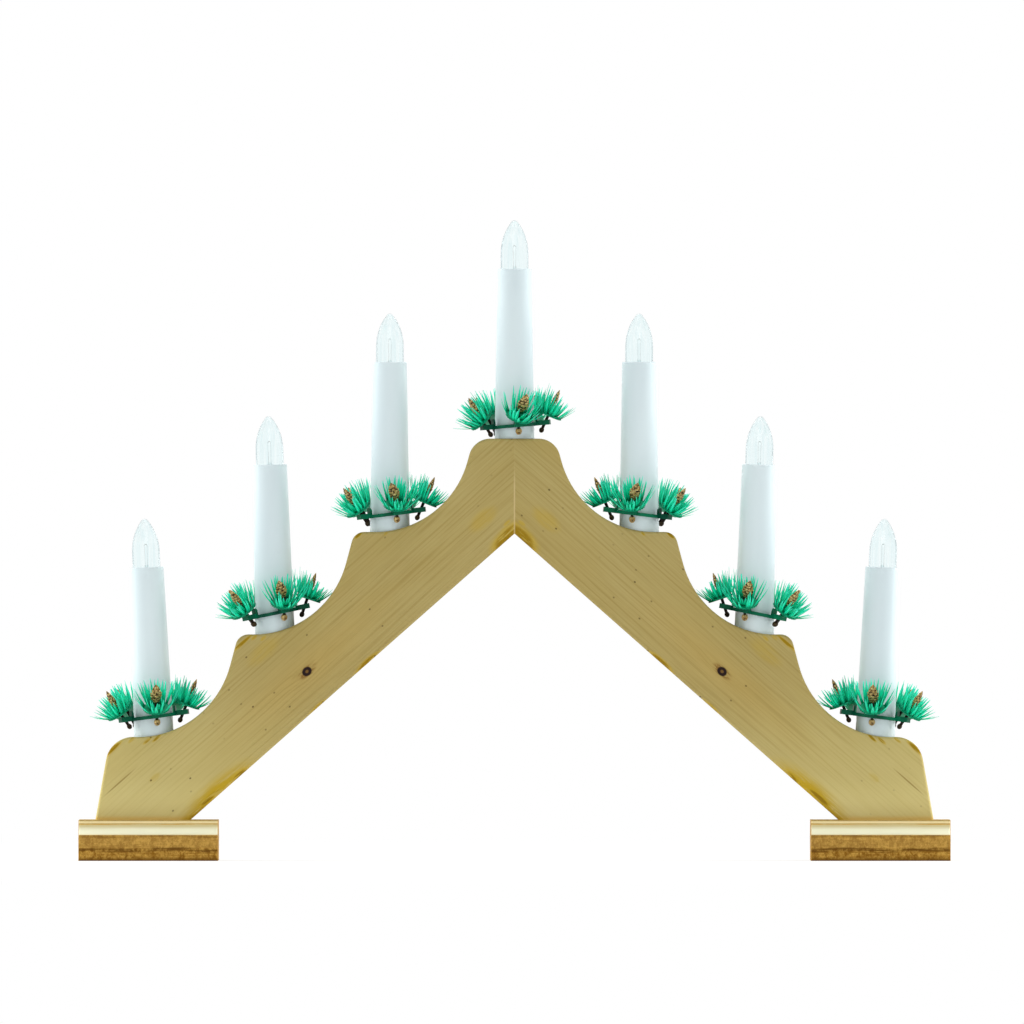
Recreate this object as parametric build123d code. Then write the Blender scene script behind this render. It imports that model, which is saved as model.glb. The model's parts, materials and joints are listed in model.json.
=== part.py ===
from build123d import *
import os
from math import cos, pi, radians, sin, sqrt, tan

# Stepped wooden candle arch with electric candles and pine wreaths.
# Millimetres and degrees. X runs along the arch, the front faces -Y, Z is up,
# and the origin is in the middle of the footprint.

# Lamp: a screw cap, a bullet-shaped clear envelope and the wires inside it
glass_radius = 6.4
glass_wall = 0.7
glass_neck_radius = 4.5
glass_neck_height = 4.0
glass_height = 33.2
glass_sunk = 11.0
ogive_height = 15.2
tip_radius = 1.9
cap_radius = 4.75
cap_height = 8.0
cap_insulator_height = 1.0
solder_radius = 1.6
solder_height = 1.2
stem_radius = 1.7
stem_height = 12.0
lead_radius = 0.22
lead_spacing = 1.3
lead_height = 9.0
filament_radius = 0.16

# Lamp socket inside the candle tube
contact_radius = 2.4
contact_thickness = 0.8
contact_gap = 0.1
shell_wall = 0.35
shell_clearance = 0.25
socket_floor = 3.0
socket_fit = 0.05
socket_clearance = 0.1
socket_ledge = 1.0
socket_lead_radius = 1.3

# Candle tube
tube_height = 79.0
tube_rim_wall = 1.1
tube_rim_radius = 0.4
tube_taper = 1.35
tube_floor = 2.5
bulb_clearance = 0.3
spigot_radius = 4.9
spigot_length = 14.0
spigot_wall = 1.9

# Candle seats in the arms, named from the top candle outwards
seat_clearance = 0.2
seat_depth = 1.0
seat_wall = 1.65
spigot_clearance = 0.1
wire_room = 5.0
wire_hole_radius = 2.0
candle_insets = (6.8, 9.9, 7.6)
candle_leans = (0.0, 0.0, 1.7, 2.5)

# Arms: platforms joined by steep risers that run out in wide scallops
top_half_flat = 11.1
top_shoulder_radius = 10.0
top_riser = 2.9
step_flats = (5.0, 2.4, 2.1)
step_shoulder_radius = 5.8
step_riser = 10.5
riser_angle = 75.0
scallop_radius = 44.0
heel_radius = 12.4
heel_lean = 10.0
heel_height = 38.0
toe_width = 43.6
mitre_height = 43.6
arm_edge_radius = 1.3

# Feet: blocks with a cove along the front and back upper edges
foot_length = 64.0
foot_overhang = 7.6
foot_ledge = 17.0
foot_face_height = 11.8
foot_cove_radius = 5.6
foot_lip_height = 1.2
foot_end_radius = 0.8

# Hidden fastenings
dowel_radius = 3.0
dowel_length = 24.0
dowel_end_room = 0.5
dowel_fit = 0.05
screw_radius = 1.75
screw_head_radius = 3.6
screw_head_height = 2.4
screw_recess = 1.0
screw_bite = 14.0
screw_fit = 0.05
fastening_shares = (0.25, 0.75)

# Wreath ring: a moulded band with five arms and a gripping tab on each arm
ring_play = 1.0
ring_width = 1.6
ring_height = 1.6
ring_arm_count = 5
ring_arm_width = 3.6
ring_arm_height = 2.3
ring_arm_end = 2.3
tab_width = 2.8
tab_height = 3.2
tab_thickness = 0.9
tab_roundness = 0.95
ring_lifts = (5.1, 7.3, 8.9, 8.5)
ring_tilts = (5.0, 7.0, 11.4, 7.4)
ring_turns = (8.0, 14.0, 20.0, 8.0)

# Picks: a cone on a stem through a needle rosette and a ring arm
pick_radius = 14.4
pick_tilt = 30.0
pick_stem_radius = 0.75
pick_clearance = 0.2
bead_radius = 1.3
bead_length = 2.2
bead_drop = 3.0
cone_half_width = 2.6
cone_half_depth = 1.45
cone_length = 10.0
cone_gap = 2.0
cone_tiers = 5
cone_sides = 6
cone_tuck = 0.82
cone_widest = 0.35
cone_spread = 0.7
spray_lift = 3.6
spray_disc_radius = 6.2
spray_disc_thickness = 0.9
spray_sides = 10
needle_count = 14
needle_half_width = 0.55
needle_inset = 1.0
needle_root = 0.3
needle_rise = 6.6
needle_flare = 3.6
upright_rise = 8.2
upright_flare = 1.2

# Sizes that follow from the ones above
lamp_bore_radius = glass_radius + bulb_clearance
tube_top_radius = lamp_bore_radius + tube_rim_wall
tube_base_radius = tube_top_radius + tube_taper
lower_bore_radius = lamp_bore_radius - socket_ledge
shell_bore_radius = cap_radius + shell_clearance
shell_radius = shell_bore_radius + shell_wall
socket_radius = lamp_bore_radius - socket_clearance
cap_top = tube_height - glass_sunk
cap_bottom = cap_top - cap_height - cap_insulator_height - solder_height
socket_floor_top = cap_bottom - contact_gap - contact_thickness
socket_bottom = socket_floor_top - socket_floor
socket_top = cap_top - cap_insulator_height
spigot_bore_radius = spigot_radius - spigot_wall

seat_radius = tube_base_radius + seat_clearance
bore_depth = spigot_length + wire_room
board_thickness = 2 * (seat_radius + seat_wall)
foot_depth = board_thickness + 2 * foot_ledge
foot_height = foot_face_height + foot_cove_radius + foot_lip_height

riser_cos = cos(radians(riser_angle))
riser_sin = sin(radians(riser_angle))
half_turn = tan(radians(riser_angle / 2))
step_shoulders = (top_shoulder_radius, step_shoulder_radius, step_shoulder_radius)
step_risers = (top_riser, step_riser, step_riser)
ring_bore_radius = tube_base_radius + ring_play
ring_radius = ring_bore_radius + ring_width

SIDES = (-1, 1)
STEPS = range(len(candle_insets))
MIDDLE_CANDLE = len(candle_insets) + 1
CANDLES = range(1, 2 * MIDDLE_CANDLE)


def step_rise(step):
    """Height of one step: scallop, straight riser and shoulder, tangent to each other."""
    rounded = (scallop_radius + step_shoulders[step]) * (1 - riser_cos)
    return rounded + step_risers[step] * riser_sin


def step_run(step):
    """Reach of one step from the end of one flat to the start of the next."""
    rounded = (scallop_radius + step_shoulders[step]) * riser_sin
    return rounded + step_risers[step] * riser_cos


# Platform heights and the scallops' outer ends, from the top outwards
platform_heights = [foot_height + heel_height + sum(step_rise(step) for step in STEPS)]
flat_starts = [0.0]
flat_ends = [top_half_flat]
for step in STEPS:
    platform_heights.append(platform_heights[-1] - step_rise(step))
    flat_starts.append(flat_ends[-1] + step_run(step))
    flat_ends.append(flat_starts[-1] + step_flats[step])

heel_turn = tan(radians((90 - heel_lean) / 2))
heel_corner = flat_ends[-1] + heel_radius * heel_turn
heel_reach = heel_corner + heel_height * tan(radians(heel_lean))
toe_reach = heel_reach - toe_width
mitre_bottom = platform_heights[0] - mitre_height
arch_half_length = heel_reach + foot_overhang
candle_offsets = [0.0] + [flat_starts[step + 1] - candle_insets[step] for step in STEPS]


def candle_station(candle):
    """Step number from the top and side of a candle counted from the left."""
    step = abs(candle - MIDDLE_CANDLE)
    side = (candle > MIDDLE_CANDLE) - (candle < MIDDLE_CANDLE)
    return step, side


def candle_frame(candle):
    """Frame on the floor of a candle's seat, with Z along the candle."""
    step, side = candle_station(candle)
    floor = platform_heights[step] - seat_depth
    return Pos(side * candle_offsets[step], 0, floor) * Rot(0, side * candle_leans[step], 0)


def wreath_frame(candle):
    """Frame on a wreath ring's underside, tipped towards the slope beside it."""
    step, side = candle_station(candle)
    uphill = side or -1
    tip = uphill * (ring_tilts[step] - candle_leans[step])
    turn = -uphill * ring_turns[step]
    return candle_frame(candle) * Pos(0, 0, seat_depth + ring_lifts[step]) * Rot(0, tip, 0) * Rot(0, 0, turn)


def pick_frames():
    """Frames of the picks on a ring, with Z along the stem and X pointing outwards."""
    spacing = 360 / ring_arm_count
    lean = Pos(pick_radius, 0, ring_arm_height / 2) * Rot(0, pick_tilt, 0)
    return [Rot(0, 0, -90 + spacing * arm) * lean for arm in range(ring_arm_count)]


def turned(outline):
    """Solid of revolution about Z from a closed outline in the XZ plane."""
    return revolve(make_face(Plane.XZ * outline), Axis.Z)


def column(radius, bottom, top):
    """Upright cylinder between two heights."""
    return Pos(0, 0, bottom) * Cylinder(radius, top - bottom, align=(Align.CENTER, Align.CENTER, Align.MIN))


def arm_outline():
    """Closed outline of the right arm in the XZ plane, its mitre at X = 0."""
    points = [(0, mitre_bottom), (0, platform_heights[0])]
    corner_radii = [0, 0]
    for step in STEPS:
        upper_corner = flat_ends[step] + step_shoulders[step] * half_turn
        lower_corner = flat_starts[step + 1] - scallop_radius * half_turn
        points += [(upper_corner, platform_heights[step]), (lower_corner, platform_heights[step + 1])]
        corner_radii += [step_shoulders[step], scallop_radius]
    points += [(heel_corner, platform_heights[-1]), (heel_reach, foot_height), (toe_reach, foot_height)]
    corner_radii += [heel_radius, 0, 0]
    return FilletPolyline(*points, radius=corner_radii, close=True)


def seat_cutter():
    """Seat, spigot bore and rear wire hole of one candle."""
    seat = column(seat_radius, 0, tube_height)
    bore = column(spigot_radius + spigot_clearance, -bore_depth, 0)
    exit_height = wire_room / 2 - bore_depth
    rear_hole = Pos(0, 0, exit_height) * Rot(-90, 0, 0) * column(wire_hole_radius, 0, board_thickness)
    return [seat, bore, rear_hole]


def dowel_heights():
    """Heights of the mitre dowels, in the solid wood under the top candle's bore."""
    solid_wood = mitre_height - seat_depth - bore_depth
    return [mitre_bottom + share * solid_wood for share in fastening_shares]


def foot_screw_places():
    """Distances of the foot screws from the middle of the arch."""
    return [heel_reach - share * toe_width for share in fastening_shares]


def screw_cutter(clearance):
    """Countersunk screw, pointing up from the underside of a foot."""
    radius = screw_radius + clearance
    head_radius = screw_head_radius + clearance
    neck = screw_recess + screw_head_height
    top = foot_height + screw_bite
    outline = Polyline(
        (0, screw_recess),
        (head_radius, screw_recess),
        (radius, neck),
        (radius, top - radius),
        (0, top),
        close=True,
    )
    return turned(outline)


def arm(side):
    """One arm of the arch, bored for its candles, dowels and foot screws."""
    board = extrude(make_face(Plane.XZ * arm_outline()), board_thickness / 2, both=True)
    across = board.faces().sort_by(Axis.Y)
    rims = ShapeList(across[0].edges() + across[-1].edges())
    rims = rims.filter_by(lambda edge: edge.center().X > arm_edge_radius)
    rims = rims.filter_by(lambda edge: edge.center().Z > foot_height + arm_edge_radius)
    rounded = fillet(rims, arm_edge_radius)
    if side < 0:
        rounded = mirror(rounded, Plane.YZ)
    cutters = []
    for candle in CANDLES:
        if candle_station(candle)[1] in (side, 0):
            cutters += [candle_frame(candle) * cutter for cutter in seat_cutter()]
    hole_depth = dowel_length / 2 + dowel_end_room
    for height in dowel_heights():
        hole = Cylinder(dowel_radius + dowel_fit, 2 * hole_depth)
        cutters.append(Pos(0, 0, height) * Rot(0, 90, 0) * hole)
    for place in foot_screw_places():
        cutters.append(Pos(side * place, 0, 0) * screw_cutter(screw_fit))
    return rounded - cutters


def foot(side):
    """One foot block, coved along the front and back, with its countersunk screw holes."""
    half = foot_depth / 2
    lip = half - foot_cove_radius
    cove_height = foot_face_height + foot_cove_radius
    base = Polyline((-half, foot_face_height), (-half, 0), (half, 0), (half, foot_face_height))
    rear_cove = RadiusArc((half, foot_face_height), (lip, cove_height), foot_cove_radius)
    top = Polyline((lip, cove_height), (lip, foot_height), (-lip, foot_height), (-lip, cove_height))
    front_cove = RadiusArc((-lip, cove_height), (-half, foot_face_height), foot_cove_radius)
    section = make_face(Plane.YZ * (Curve() + [base, rear_cove, top, front_cove]))
    block = extrude(section, foot_length)
    block = fillet(block.edges().filter_by(Axis.Z), foot_end_radius)
    inner_end = arch_half_length - foot_length
    placed = Pos(inner_end if side > 0 else -arch_half_length, 0, 0) * block
    recess = column(screw_head_radius + screw_fit, 0, screw_recess)
    for place in foot_screw_places():
        placed -= Pos(side * place, 0, 0) * (screw_cutter(screw_fit) + recess)
    return placed


def mitre_dowels():
    """Two dowels across the mitre."""
    dowel = Rot(0, 90, 0) * Cylinder(dowel_radius, dowel_length)
    return [Pos(0, 0, height) * dowel for height in dowel_heights()]


def foot_screws():
    """Four screws that hold the arms to the feet."""
    return [Pos(side * place, 0, 0) * screw_cutter(0) for side in SIDES for place in foot_screw_places()]


def candle_tube():
    """Tapered sleeve with a ledge for the socket and a hollow spigot below."""
    outline = FilletPolyline(
        (spigot_bore_radius, -spigot_length),
        (spigot_radius, -spigot_length),
        (spigot_radius, 0),
        (tube_base_radius, 0),
        (tube_top_radius, tube_height),
        (lamp_bore_radius, tube_height),
        (lamp_bore_radius, socket_bottom),
        (lower_bore_radius, socket_bottom),
        (lower_bore_radius, tube_floor),
        (spigot_bore_radius, tube_floor),
        radius=[0, 0, 0, 0, tube_rim_radius, tube_rim_radius, 0, 0, 0, 0],
        close=True,
    )
    return turned(outline)


def lamp_socket():
    """Socket cup that stands on the tube's ledge, its floor pierced for the two leads."""
    body = column(socket_radius, socket_bottom, socket_top)
    body -= column(shell_radius + socket_fit, socket_floor_top, socket_top)
    lead_place = (contact_radius + shell_bore_radius) / 2
    for side in SIDES:
        body -= Pos(0, side * lead_place, 0) * column(socket_lead_radius, socket_bottom, socket_floor_top)
    return body


def socket_shell():
    """Brass liner that takes the lamp cap."""
    outside = column(shell_radius, socket_floor_top, socket_top)
    return outside - column(shell_bore_radius, socket_floor_top, socket_top)


def centre_contact():
    """Brass disc on the socket floor."""
    return column(contact_radius, socket_floor_top, socket_floor_top + contact_thickness)


def lamp_cap():
    """Screw cap with its insulator and solder tip."""
    body_bottom = cap_top - cap_height
    tip_top = cap_bottom + solder_height
    outline = Polyline(
        (0, cap_bottom),
        (solder_radius, cap_bottom),
        (solder_radius, tip_top),
        (cap_radius, body_bottom),
        (cap_radius, cap_top),
        (0, cap_top),
        close=True,
    )
    return turned(outline)


def envelope_profile(inset):
    """Half outline of the lamp envelope, set inwards by a wall: neck, cylinder, ogive and rounded tip."""
    radius = glass_radius - inset
    tip = tip_radius - inset
    top = cap_top + glass_height - inset
    shoulder = cap_top + glass_height - ogive_height
    tip_rise = top - tip - shoulder
    ogive = (tip_rise**2 + radius**2 - tip**2) / (2 * (radius - tip))
    reach = ogive - tip
    touch = (radius - ogive + ogive * (ogive - radius) / reach, shoulder + ogive * tip_rise / reach)
    neck = Polyline(
        (0, cap_top),
        (glass_neck_radius - inset, cap_top),
        (radius, cap_top + glass_neck_height),
        (radius, shoulder),
    )
    side_arc = TangentArc((radius, shoulder), touch, tangent=(0, 1))
    tip_arc = TangentArc(touch, (0, top), tangent=side_arc % 1)
    axis = Line((0, top), (0, cap_top))
    return Curve() + [neck, side_arc, tip_arc, axis]


def lamp_glass():
    """Clear envelope, open at the neck where the cap closes it."""
    return turned(envelope_profile(0)) - turned(envelope_profile(glass_wall))


def lamp_mount():
    """Glass stem with two lead wires and the filament between them."""
    stem_top = cap_top + stem_height
    lead_top = stem_top + lead_height
    mount = column(stem_radius, cap_top, stem_top)
    for side in SIDES:
        mount += Pos(side * lead_spacing / 2, 0, 0) * column(lead_radius, stem_top - lead_radius, lead_top)
    bridge = Cylinder(filament_radius, lead_spacing)
    return mount + Pos(0, 0, lead_top - filament_radius) * Rot(0, 90, 0) * bridge


def wreath_ring():
    """Moulded ring with its arms, gripping tabs and the slanted stem holes."""
    ring = column(ring_radius, 0, ring_height)
    arm_start = ring_bore_radius + ring_width / 2
    arm_length = pick_radius + ring_arm_end - arm_start
    tab_half = tab_width / 2
    tab_top = ring_height + tab_height
    bar = Box(arm_length, ring_arm_width, ring_arm_height, align=(Align.MIN, Align.CENTER, Align.MIN))
    tab_corner = tab_roundness * tab_half
    tab_outline = FilletPolyline(
        (-tab_half, 0),
        (tab_half, 0),
        (tab_half, tab_top),
        (-tab_half, tab_top),
        radius=[0, 0, tab_corner, tab_corner],
        close=True,
    )
    tab = extrude(make_face(Plane.YZ * tab_outline), tab_thickness)
    for arm_index in range(ring_arm_count):
        turn = Rot(0, 0, -90 + arm_index * 360 / ring_arm_count)
        ring += [turn * Pos(arm_start, 0, 0) * bar, turn * Pos(ring_bore_radius, 0, 0) * tab]
    ring -= column(ring_bore_radius, 0, tab_top)
    stem_hole = Cylinder(pick_stem_radius + pick_clearance, 2 * spray_lift)
    return ring - [frame * stem_hole for frame in pick_frames()]


def oval(height, half_depth, half_width, sides):
    """Flat polygon on an oval, at a height on the pick's axis."""
    turns = [2 * pi * (corner + 0.5) / sides for corner in range(sides)]
    points = [(half_depth * cos(turn), half_width * sin(turn)) for turn in turns]
    return Pos(0, 0, height) * Polygon(*points, align=None)


def drum(bottom, top, sides):
    """Straight-sided solid between two ovals, each given as height, half depth and half width."""
    return loft([oval(*bottom, sides), oval(*top, sides)], ruled=True)


def pine_cone():
    """Flattened cone of overlapping tiers on its stem, with the bead that keeps it in the ring."""
    base = spray_lift + spray_disc_thickness + cone_gap
    tier_height = cone_length / cone_tiers
    tiers = []
    for tier in range(cone_tiers):
        bottom = base + tier * tier_height
        middle = (tier + 0.5) / cone_tiers
        swell = sqrt(1 - ((middle - cone_widest) / cone_spread) ** 2)
        lip = (swell * cone_half_depth, swell * cone_half_width)
        tuck = (cone_tuck * lip[0], cone_tuck * lip[1])
        tiers.append(drum((bottom, *tuck), (bottom + tier_height, *lip), cone_sides))
    bead_middle = -bead_drop - bead_length / 2
    stem = (pick_stem_radius, pick_stem_radius)
    bead = (bead_radius, bead_radius)
    rod = drum((bead_middle, *stem), (base, *stem), cone_sides)
    upper_bead = drum((bead_middle, *bead), (-bead_drop, *stem), cone_sides)
    lower_bead = drum((-bead_drop - bead_length, *stem), (bead_middle, *bead), cone_sides)
    return rod.fuse(upper_bead, lower_bead, *tiers)


def needle(index):
    """Three-sided needle rooted in the rosette's disc, every second one upright."""
    turn = 2 * pi * (index + 0.5) / needle_count
    outward = (1 + cos(turn)) / 2
    root_radius = spray_disc_radius - needle_inset
    if index % 2:
        rise, flare = upright_rise, upright_flare * outward
    else:
        rise, flare = needle_rise, needle_flare * outward
    root = RegularPolygon(needle_half_width, 3)
    disc_top = spray_lift + spray_disc_thickness
    frame = Rot(0, 0, turn * 180 / pi) * Pos(root_radius, 0, disc_top - needle_root)
    tip = frame * Pos(flare, 0, needle_root + rise)
    return loft([frame * root, Vertex(*tip.position)], ruled=True)


def pine_spray():
    """Needle rosette: a disc on the stem with its needles fused to it."""
    half_disc = (spray_disc_radius, spray_disc_radius)
    disc_top = spray_lift + spray_disc_thickness
    disc = drum((spray_lift, *half_disc), (disc_top, *half_disc), spray_sides)
    hole = (pick_stem_radius + pick_clearance, pick_stem_radius + pick_clearance)
    disc -= drum((spray_lift, *hole), (disc_top, *hole), cone_sides)
    return disc.fuse(*[needle(index) for index in range(needle_count)])


def save(name, shapes):
    """Write one node from the solids of its shapes."""
    solids = [solid for shape in shapes for solid in shape.solids()]
    export_step(Compound(solids), f"parts/{name}.step")


def main():
    os.makedirs("parts", exist_ok=True)
    for side, name in zip(SIDES, ("left", "right")):
        save(f"{name}_arm", [arm(side)])
        save(f"{name}_foot", [foot(side)])
    save("mitre_dowels", mitre_dowels())
    save("foot_screws", foot_screws())

    in_each_tube = {
        "lamp_sockets": lamp_socket(),
        "socket_shells": socket_shell(),
        "centre_contacts": centre_contact(),
    }
    for name, piece in in_each_tube.items():
        save(name, [candle_frame(candle) * piece for candle in CANDLES])

    on_each_candle = {
        "candle_tube": candle_tube(),
        "bulb_glass": lamp_glass(),
        "bulb_cap": lamp_cap(),
        "bulb_mount": lamp_mount(),
    }
    ring = wreath_ring()
    spray = pine_spray()
    cone = pine_cone()
    for candle in CANDLES:
        for name, piece in on_each_candle.items():
            save(f"{name}_{candle}", [candle_frame(candle) * piece])
        wreath = wreath_frame(candle)
        save(f"wreath_ring_{candle}", [wreath * ring])
        save(f"pine_sprays_{candle}", [wreath * frame * spray for frame in pick_frames()])
        save(f"pine_cones_{candle}", [wreath * frame * cone for frame in pick_frames()])


main()
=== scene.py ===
"""Looks of a stepped wooden candle arch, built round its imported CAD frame."""

import json
from math import atan2, cos, pi, radians, sin, tan

import bpy
import numpy as np
from bpy.props import FloatProperty, FloatVectorProperty, IntProperty, PointerProperty
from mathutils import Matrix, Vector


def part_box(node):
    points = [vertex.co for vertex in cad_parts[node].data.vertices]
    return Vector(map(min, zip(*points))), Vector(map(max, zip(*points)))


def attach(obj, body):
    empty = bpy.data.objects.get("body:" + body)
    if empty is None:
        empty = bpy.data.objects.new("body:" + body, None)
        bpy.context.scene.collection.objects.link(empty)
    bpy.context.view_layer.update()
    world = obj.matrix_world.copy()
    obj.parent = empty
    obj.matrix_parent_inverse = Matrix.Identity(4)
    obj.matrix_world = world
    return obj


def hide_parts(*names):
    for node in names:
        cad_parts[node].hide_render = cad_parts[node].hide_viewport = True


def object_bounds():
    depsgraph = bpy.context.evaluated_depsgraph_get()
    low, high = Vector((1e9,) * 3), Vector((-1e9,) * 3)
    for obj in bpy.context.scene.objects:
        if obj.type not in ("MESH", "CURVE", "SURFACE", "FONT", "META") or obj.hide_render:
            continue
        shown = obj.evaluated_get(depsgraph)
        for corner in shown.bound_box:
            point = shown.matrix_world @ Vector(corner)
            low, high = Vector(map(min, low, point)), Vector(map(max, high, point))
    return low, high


bl_info = {
    "name": "Candle arch",
    "version": (1, 0, 0),
    "blender": (4, 5, 0),
    "location": "View3D > Sidebar > Candle arch",
    "description": "Dresses the CAD frame of a candle arch with wood, glass, needles and cones",
    "category": "Object",
}

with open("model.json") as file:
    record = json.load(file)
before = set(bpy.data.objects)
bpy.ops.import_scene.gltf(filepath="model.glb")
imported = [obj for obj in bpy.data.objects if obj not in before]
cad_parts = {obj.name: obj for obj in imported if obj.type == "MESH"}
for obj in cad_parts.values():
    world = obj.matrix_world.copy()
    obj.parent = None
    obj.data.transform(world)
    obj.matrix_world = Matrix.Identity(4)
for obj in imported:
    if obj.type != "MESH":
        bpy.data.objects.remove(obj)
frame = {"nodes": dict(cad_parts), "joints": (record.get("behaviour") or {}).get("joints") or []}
CAD_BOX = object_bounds()

MM = 0.001
CANDLES = range(1, 8)
MIDDLE_CANDLE = 4
RING_ARMS = 5
SIDES = {"left": -1, "right": 1}

# The photograph: pixels of its frame, the ground line and the middle of the arch, and one pixel's size,
# with the width of the camera's sensor in millimetres
PHOTO_SIDE = 1024
GROUND_ROW = 860.5
MIDDLE_COLUMN = 514.5
PIXEL_SIZE = 0.4587 * MM
SENSOR = 36.0

# Knot of each arm, its golden stains and a fine crack near its toe, in millimetres. A place is a distance
# from the middle and a height. Half a length along the grain and half a width across it follow, and then
# a stain's strength. Edge stains and their wide cloud lie on the arm's underside, so they have no height.
KNOT = (95.2, 86.7)
KNOT_RADIUS = 1.8
STAINS = (
    (185.0, 50.6, 9.0, 1.5, 1.0),
    (175.5, 55.4, 3.0, 0.9, 1.0),
    (168.4, 55.0, 3.4, 0.9, 1.0),
    (164.0, 56.2, 3.6, 0.9, 1.0),
    (125.2, 99.4, 9.0, 1.1, 1.0),
    (119.4, 102.3, 2.2, 1.0, 0.7),
    (115.2, 101.9, 2.2, 1.0, 0.6),
    (115.2, 95.8, 12.0, 5.0, 0.25),
    (71.6, 149.2, 3.2, 1.0, 1.0),
    (59.0, 149.9, 1.6, 0.7, 0.8),
    (3.4, 154.8, 2.8, 1.1, 0.55),
    (14.5, 156.5, 10.0, 5.0, 0.32),
    (165.0, 38.0, 4.0, 2.0, 0.3),
    (139.7, 28.9, 9.0, 1.5, 1.0),
)
EDGE_STAINS = (
    (2.0, 14.0, 6.6, 1.0),
    (67.0, 10.0, 2.6, 1.0),
    (90.0, 7.0, 1.6, 0.8),
    (126.0, 8.0, 2.6, 1.0),
    (150.0, 9.0, 4.0, 0.6),
)
EDGE_CLOUD = (136.0, 29.0, 9.0)
CRACK = (180.8, 36.1, 12.0, 0.5)

# Leans in degrees: of each step's front cone, from the top down, of the top wreath's first two rosettes,
# sideways and outward, and of the other cones at most
FRONT_CONE_LEANS = (20.0, -15.0, -13.0, 2.0)
TOP_ROSETTE_LEANS = ((16.0, 0.0), (0.0, 12.0))
SIDE_CONE_LEAN = 9.0

# Stage: each soft light's offset from the object's middle and width in metres and its power in watts, the
# strength of the light from all round, and half the floor's side in metres
LIGHTS = {
    "front_light": ((0.0, -1.6, 0.9), 1.2, 6.5),
    "top_light": ((0.0, 0.1, 1.5), 1.4, 15.0),
    "left_light": ((-1.2, 0.33, 0.2), 0.9, 14.5),
    "right_light": ((1.2, 0.33, 0.2), 0.9, 14.5),
}
WORLD_LIGHT = 0.5
FLOOR_HALF = 8.0


def step_and_side(candle):
    """Step of a candle from the top, and its side: -1 left, 0 middle, 1 right."""
    return abs(candle - MIDDLE_CANDLE), int(np.sign(candle - MIDDLE_CANDLE))


# Measures read from the frame

def node_points(node):
    """Distinct corner points of a CAD node, in metres."""
    vertices = frame["nodes"][node].data.vertices
    points = np.empty(3 * len(vertices), np.float32)
    vertices.foreach_get("co", points)
    return np.unique(points.reshape(-1, 3).astype(float).round(7), axis=0)


def joint_axis(name):
    """Unit direction of a joint."""
    joint = next(j for j in frame["joints"] if j["name"] == name)
    axis = np.array(joint["axis"], float)
    return axis / np.linalg.norm(axis)


def candle_axes(candle):
    """A point on a candle's axis and its three directions: across, back and up the candle."""
    up = joint_axis(f"bulb_{candle}_lift")
    back = np.array((0.0, 1.0, 0.0))
    across = np.cross(back, up)
    axes = np.stack([across, np.cross(up, across), up])
    local = node_points(f"candle_tube_{candle}") @ axes.T
    return (local.min(axis=0) + local.max(axis=0)) / 2 @ axes, axes


def heights_and_radii(node, middle, axes):
    """Heights along a candle's axis and distances from it, of a node's points."""
    local = (node_points(node) - middle) @ axes.T
    return local[:, 2], np.hypot(local[:, 0], local[:, 1])


def ring_arms(candle):
    """Cone points and spray points of each ring arm.

    The five cones repeat round the ring, so their points spread least along the ring's axis, and the
    mean of exp(5i * azimuth) gives the turn of the first arm.
    """
    cones = node_points(f"pine_cones_{candle}")
    sprays = node_points(f"pine_sprays_{candle}")
    centre = cones.mean(axis=0)
    _, directions = np.linalg.eigh(np.cov((cones - centre).T))
    axis = directions[:, 0] * np.sign(directions[2, 0])
    side = np.cross((0.0, -1.0, 0.0), axis)
    side /= np.linalg.norm(side)
    front = np.cross(axis, side)
    turns = [np.arctan2((p - centre) @ side, (p - centre) @ front) for p in (cones, sprays)]
    first = np.angle(np.exp(1j * RING_ARMS * turns[0]).mean()) / RING_ARMS
    own = [np.round((turn - first) * RING_ARMS / (2 * pi)).astype(int) % RING_ARMS for turn in turns]
    return centre, [(cones[own[0] == arm], sprays[own[1] == arm]) for arm in range(RING_ARMS)]


def pick_frame(centre, cone_points, spray_points, mirrored):
    """Frame and levels of one pick: origin under its disc, axes outward, sideways and up the stem."""
    middle = cone_points.mean(axis=0)
    _, directions = np.linalg.eigh(np.cov((cone_points - middle).T))
    stem = directions[:, 2] * np.sign(directions[2, 2])
    spray_levels = (spray_points - middle) @ stem
    origin = middle + stem * spray_levels.min()
    outward = origin - centre
    outward -= stem * (outward @ stem)
    outward /= np.linalg.norm(outward)
    sideways = np.cross(stem, outward) * (-1 if mirrored else 1)
    axes = np.stack([outward, sideways, stem])
    cone_local = (cone_points - origin) @ axes.T
    spray_local = (spray_points - origin) @ axes.T
    rim = spray_local[np.abs(spray_local[:, 2]) < 0.01 * MM]
    return {
        "origin": origin,
        "axes": axes,
        "disc_radius": np.hypot(rim[:, 0], rim[:, 1]).max(),
        "cone_top": cone_local[:, 2].max(),
        "bead_bottom": cone_local[:, 2].min(),
        "cone_half": np.abs(cone_local[:, :2]).max(axis=0),
    }


def picks(candle):
    """The five picks of a wreath, those of the right half in mirrored order."""
    mirrored = step_and_side(candle)[1] > 0
    centre, arms = ring_arms(candle)
    order = [-arm % RING_ARMS if mirrored else arm for arm in range(RING_ARMS)]
    return [pick_frame(centre, *arms[arm], mirrored) for arm in order]


# Surfaces

def placed(rings, origin, axes):
    """Local ring points in the object's frame, the columns reversed where the axes mirror them."""
    if np.linalg.det(axes) < 0:
        rings = rings[:, :, ::-1]
    return rings @ axes + origin


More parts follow.
